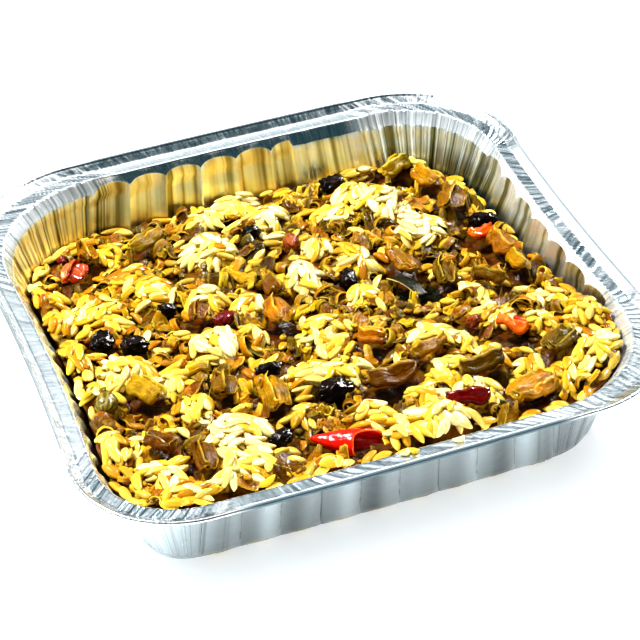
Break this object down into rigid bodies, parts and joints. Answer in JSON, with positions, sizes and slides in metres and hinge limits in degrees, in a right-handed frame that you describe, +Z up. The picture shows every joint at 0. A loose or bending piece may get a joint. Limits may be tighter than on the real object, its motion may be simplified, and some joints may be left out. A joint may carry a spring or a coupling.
{
  "type": "foil tray meal",
  "caption": "Shallow crimped foil tray with a rolled rim, filled with lumpy yellow rice, dark raisins, red pepper and folded pieces of soft onion.",
  "frame": {"origin": "centre of the tray's box, at the level of the base's underside", "axes": "+X along the tray's long front edge, +Y from the front to the back, +Z up"},
  "size_m": [0.2149, 0.2108, 0.04],
  "materials": {
    "foil": "bright crinkled foil, golden where it mirrors the rice",
    "rice": "moist cooked yellow rice, from near white to deep yellow",
    "raisin": "glossy wrinkled black skin",
    "sultana": "glossy red-brown skin",
    "caper": "glossy olive green skin",
    "pepper": "glossy cooked red pepper",
    "onion": "glossy soft-cooked onion, olive to amber"
  },
  "bodies": {
    "root": {"foil_tray": "foil", "rice_heap": "rice", "raisin_01": "raisin", "raisin_02": "raisin", "raisin_03": "raisin", "raisin_04": "raisin", "raisin_05": "raisin", "raisin_06": "raisin", "raisin_07": "raisin", "raisin_08": "raisin", "raisin_09": "raisin", "raisin_10": "sultana", "raisin_11": "sultana", "raisin_12": "raisin", "caper": "caper", "pepper_roll": "pepper", "pepper_bit_01": "pepper", "pepper_bit_02": "pepper", "pepper_bit_03": "pepper", "pepper_bit_04": "pepper", "pepper_bit_05": "pepper", "pepper_bit_06": "pepper", "onion_01": "onion", "onion_02": "onion", "onion_03": "onion", "onion_04": "onion", "onion_05": "onion", "onion_06": "onion", "onion_07": "onion", "onion_08": "onion", "onion_09": "onion", "onion_10": "onion", "onion_11": "onion", "onion_12": "onion", "onion_13": "onion", "onion_14": "onion", "onion_15": "onion", "onion_16": "onion", "onion_17": "onion", "onion_18": "onion", "onion_19": "onion", "onion_20": "onion", "onion_21": "onion", "onion_22": "onion", "onion_23": "onion", "onion_24": "onion"}
  },
  "joints": []
}
